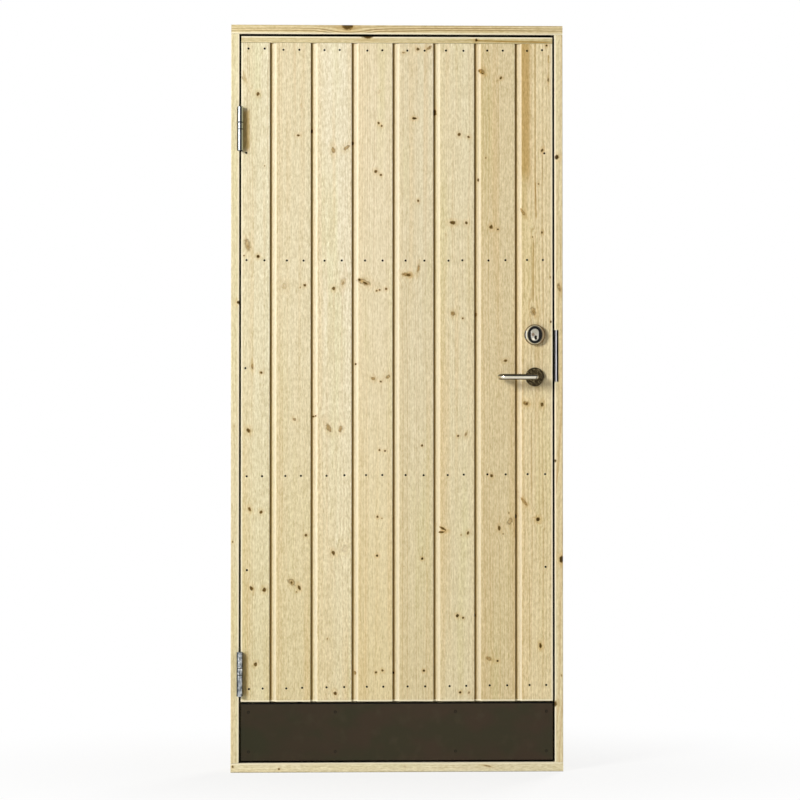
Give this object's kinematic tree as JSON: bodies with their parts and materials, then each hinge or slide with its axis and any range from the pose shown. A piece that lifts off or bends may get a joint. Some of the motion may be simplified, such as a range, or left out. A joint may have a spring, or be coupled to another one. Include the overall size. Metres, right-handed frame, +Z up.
{
  "type": "shed door",
  "caption": "Boarded timber shed door in its frame, with a dark kick board, lift-off hinges, a lever handle and a cylinder lock.",
  "frame": {"origin": "middle of the threshold's underside, half way through the frame's depth", "axes": "+X to the lock side as seen from outside, +Y from outside to inside, +Z up"},
  "size_m": [0.885, 0.1546, 1.99],
  "materials": {
    "frame_pine": "planed, untreated",
    "board_pine": "planed, untreated",
    "rail_pine": "planed, untreated",
    "kick_board_film": "plywood with a dark brown film face",
    "hinge_zinc": "zinc plated",
    "lock_steel": "brushed",
    "lever_steel": "satin",
    "rose_steel": "satin, darkened",
    "ring_steel": "satin",
    "cylinder_nickel": "satin nickel plated"
  },
  "bodies": {
    "frame": {"frame_head": "frame_pine", "hinge_jamb": "frame_pine", "lock_jamb": "frame_pine", "threshold": "frame_pine", "head_stop": "frame_pine", "hinge_stop": "frame_pine", "lock_stop": "frame_pine", "strike_plate": "lock_steel", "upper_hinge_frame_half": "hinge_zinc", "upper_hinge_ring": "hinge_zinc", "lower_hinge_frame_half": "hinge_zinc", "lower_hinge_ring": "hinge_zinc"},
    "leaf": {"board_1": "board_pine", "board_2": "board_pine", "board_3": "board_pine", "board_4": "board_pine", "board_5": "board_pine", "board_6": "board_pine", "board_7": "board_pine", "board_8": "board_pine", "top_rail": "rail_pine", "upper_middle_rail": "rail_pine", "lower_middle_rail": "rail_pine", "bottom_rail": "rail_pine", "hinge_stile": "rail_pine", "lock_stile": "rail_pine", "kick_board": "kick_board_film", "upper_hinge_leaf_half": "hinge_zinc", "lower_hinge_leaf_half": "hinge_zinc", "lock_case": "lock_steel", "lock_bolts": "lock_steel", "outer_handle_rose": "rose_steel", "inner_handle_rose": "rose_steel", "outer_cylinder_ring": "ring_steel", "inner_cylinder_ring": "ring_steel", "outer_cylinder": "cylinder_nickel", "inner_cylinder": "cylinder_nickel"},
    "lever_handle": {"outer_lever": "lever_steel", "inner_lever": "lever_steel", "handle_spindle": "lock_steel"}
  },
  "joints": [
    {"name": "door_swing", "type": "hinge", "parent": "frame", "child": "leaf", "pos_m": [-0.418, -0.0545, 0.9865], "axis": [0, 0, -1], "range_deg": [0, 170]},
    {"name": "lever_turn", "type": "hinge", "parent": "leaf", "child": "lever_handle", "pos_m": [0.367, -0.0245, 1.0505], "axis": [0, -1, 0], "range_deg": [0, 45], "stiffness_Nm_per_rad": 1.5, "springref_deg": -22.92}
  ]
}
